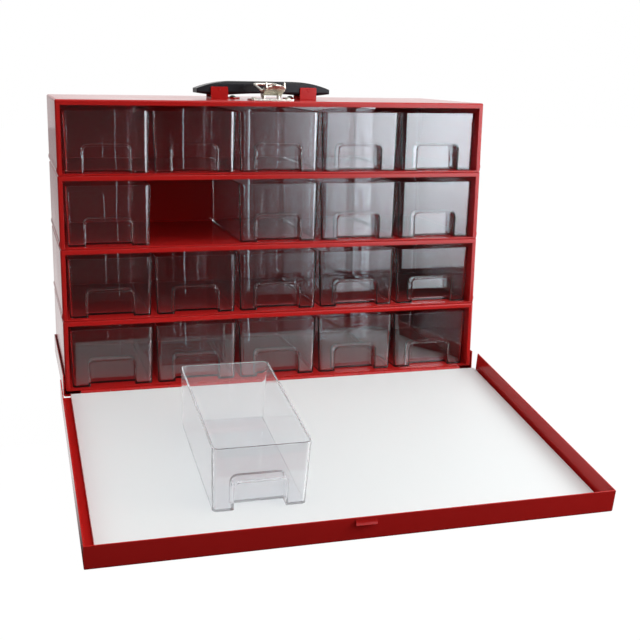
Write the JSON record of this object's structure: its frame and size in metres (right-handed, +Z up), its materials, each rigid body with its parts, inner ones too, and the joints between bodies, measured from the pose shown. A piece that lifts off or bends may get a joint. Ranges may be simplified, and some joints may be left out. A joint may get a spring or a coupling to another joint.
{
  "type": "parts bin cabinet",
  "caption": "Portable sheet-steel parts cabinet with stacked rows of clear pull-out bins, a drop-front lid on a long hinge, a top carrying handle and a draw latch.",
  "frame": {"origin": "middle of the flat underside of the base tray", "axes": "+X to the right seen from the front, +Y to the back, +Z up; the bins and the lid face -Y"},
  "size_m": [0.384, 0.4032, 0.3039],
  "materials": {
    "red_paint": "gloss",
    "zinc_plate": "satin",
    "white_board": "satin",
    "black_plastic": "satin",
    "clear_plastic": "gloss"
  },
  "bodies": {
    "cabinet": {"base_tray": "red_paint", "row_housing_1": "red_paint", "row_housing_2": "red_paint", "row_housing_3": "red_paint", "row_housing_4": "red_paint", "back_panel_1": "red_paint", "back_panel_2": "red_paint", "back_panel_3": "red_paint", "back_panel_4": "red_paint", "handle_bracket_left": "red_paint", "handle_bracket_right": "red_paint", "handle_cross_pins": "red_paint", "handle_rivets": "zinc_plate", "latch_base": "zinc_plate", "latch_rivets": "zinc_plate", "latch_pivot_pin": "zinc_plate", "hinge_cabinet_leaf": "red_paint", "hinge_pin": "zinc_plate"},
    "handle": {"handle_grip": "black_plastic"},
    "latch_lever": {"latch_lever": "zinc_plate"},
    "latch_bail": {"latch_bail": "zinc_plate"},
    "lid": {"lid_tray": "red_paint", "lid_liner": "white_board", "hinge_lid_leaf": "red_paint"},
    "bin_1_1": {"bin_1_1": "clear_plastic"},
    "bin_1_2": {"bin_1_2": "clear_plastic"},
    "bin_1_3": {"bin_1_3": "clear_plastic"},
    "bin_1_4": {"bin_1_4": "clear_plastic"},
    "bin_1_5": {"bin_1_5": "clear_plastic"},
    "bin_2_1": {"bin_2_1": "clear_plastic"},
    "bin_2_3": {"bin_2_3": "clear_plastic"},
    "bin_2_4": {"bin_2_4": "clear_plastic"},
    "bin_2_5": {"bin_2_5": "clear_plastic"},
    "bin_3_1": {"bin_3_1": "clear_plastic"},
    "bin_3_2": {"bin_3_2": "clear_plastic"},
    "bin_3_3": {"bin_3_3": "clear_plastic"},
    "bin_3_4": {"bin_3_4": "clear_plastic"},
    "bin_3_5": {"bin_3_5": "clear_plastic"},
    "bin_4_1": {"bin_4_1": "clear_plastic"},
    "bin_4_2": {"bin_4_2": "clear_plastic"},
    "bin_4_3": {"bin_4_3": "clear_plastic"},
    "bin_4_4": {"bin_4_4": "clear_plastic"},
    "bin_4_5": {"bin_4_5": "clear_plastic"},
    "bin_loose": {"bin_loose": "clear_plastic"}
  },
  "joints": [
    {"name": "lid_hinge", "type": "hinge", "parent": "cabinet", "child": "lid", "pos_m": [0, -0.0767, 0.0033], "axis": [1, 0, 0], "range_deg": [-99.2, 0]},
    {"name": "grip_lift", "type": "slide", "parent": "cabinet", "child": "handle", "axis": [0, 0, 1], "range_m": [0, 0.0025]},
    {"name": "latch_lever_pivot", "type": "hinge", "parent": "cabinet", "child": "latch_lever", "pos_m": [-0.002, -0.044, 0.2543], "axis": [1, 0, 0], "range_deg": [-157, 0]},
    {"name": "latch_bail_pivot", "type": "hinge", "parent": "latch_lever", "child": "latch_bail", "pos_m": [-0.002, -0.05034, 0.25726], "axis": [1, 0, 0], "range_deg": [0, 325.4]},
    {"name": "bin_1_1_slide", "type": "slide", "parent": "cabinet", "child": "bin_1_1", "axis": [0, -1, 0], "range_m": [0, 0.145]},
    {"name": "bin_1_2_slide", "type": "slide", "parent": "cabinet", "child": "bin_1_2", "axis": [0, -1, 0], "range_m": [0, 0.145]},
    {"name": "bin_1_3_slide", "type": "slide", "parent": "cabinet", "child": "bin_1_3", "axis": [0, -1, 0], "range_m": [0, 0.145]},
    {"name": "bin_1_4_slide", "type": "slide", "parent": "cabinet", "child": "bin_1_4", "axis": [0, -1, 0], "range_m": [0, 0.145]},
    {"name": "bin_1_5_slide", "type": "slide", "parent": "cabinet", "child": "bin_1_5", "axis": [0, -1, 0], "range_m": [0, 0.145]},
    {"name": "bin_2_1_slide", "type": "slide", "parent": "cabinet", "child": "bin_2_1", "axis": [0, -1, 0], "range_m": [0, 0.145]},
    {"name": "bin_2_3_slide", "type": "slide", "parent": "cabinet", "child": "bin_2_3", "axis": [0, -1, 0], "range_m": [0, 0.145]},
    {"name": "bin_2_4_slide", "type": "slide", "parent": "cabinet", "child": "bin_2_4", "axis": [0, -1, 0], "range_m": [0, 0.145]},
    {"name": "bin_2_5_slide", "type": "slide", "parent": "cabinet", "child": "bin_2_5", "axis": [0, -1, 0], "range_m": [0, 0.145]},
    {"name": "bin_3_1_slide", "type": "slide", "parent": "cabinet", "child": "bin_3_1", "axis": [0, -1, 0], "range_m": [0, 0.145]},
    {"name": "bin_3_2_slide", "type": "slide", "parent": "cabinet", "child": "bin_3_2", "axis": [0, -1, 0], "range_m": [0, 0.145]},
    {"name": "bin_3_3_slide", "type": "slide", "parent": "cabinet", "child": "bin_3_3", "axis": [0, -1, 0], "range_m": [0, 0.145]},
    {"name": "bin_3_4_slide", "type": "slide", "parent": "cabinet", "child": "bin_3_4", "axis": [0, -1, 0], "range_m": [0, 0.145]},
    {"name": "bin_3_5_slide", "type": "slide", "parent": "cabinet", "child": "bin_3_5", "axis": [0, -1, 0], "range_m": [0, 0.145]},
    {"name": "bin_4_1_slide", "type": "slide", "parent": "cabinet", "child": "bin_4_1", "axis": [0, -1, 0], "range_m": [0, 0.145]},
    {"name": "bin_4_2_slide", "type": "slide", "parent": "cabinet", "child": "bin_4_2", "axis": [0, -1, 0], "range_m": [0, 0.07]},
    {"name": "bin_4_3_slide", "type": "slide", "parent": "cabinet", "child": "bin_4_3", "axis": [0, -1, 0], "range_m": [0, 0.07]},
    {"name": "bin_4_4_slide", "type": "slide", "parent": "cabinet", "child": "bin_4_4", "axis": [0, -1, 0], "range_m": [0, 0.145]},
    {"name": "bin_4_5_slide", "type": "slide", "parent": "cabinet", "child": "bin_4_5", "axis": [0, -1, 0], "range_m": [0, 0.145]},
    {"name": "bin_loose_lift", "type": "slide", "parent": "cabinet", "child": "bin_loose", "axis": [0, 0, 1], "range_m": [0, 0.503]}
  ],
  "couplings": [
    {"joint": "latch_bail_pivot", "follows": "latch_lever_pivot", "ratio": -2.0721},
    {"joint": "bin_loose_lift", "follows": "lid_hinge", "m_per_rad": -0.29}
  ]
}
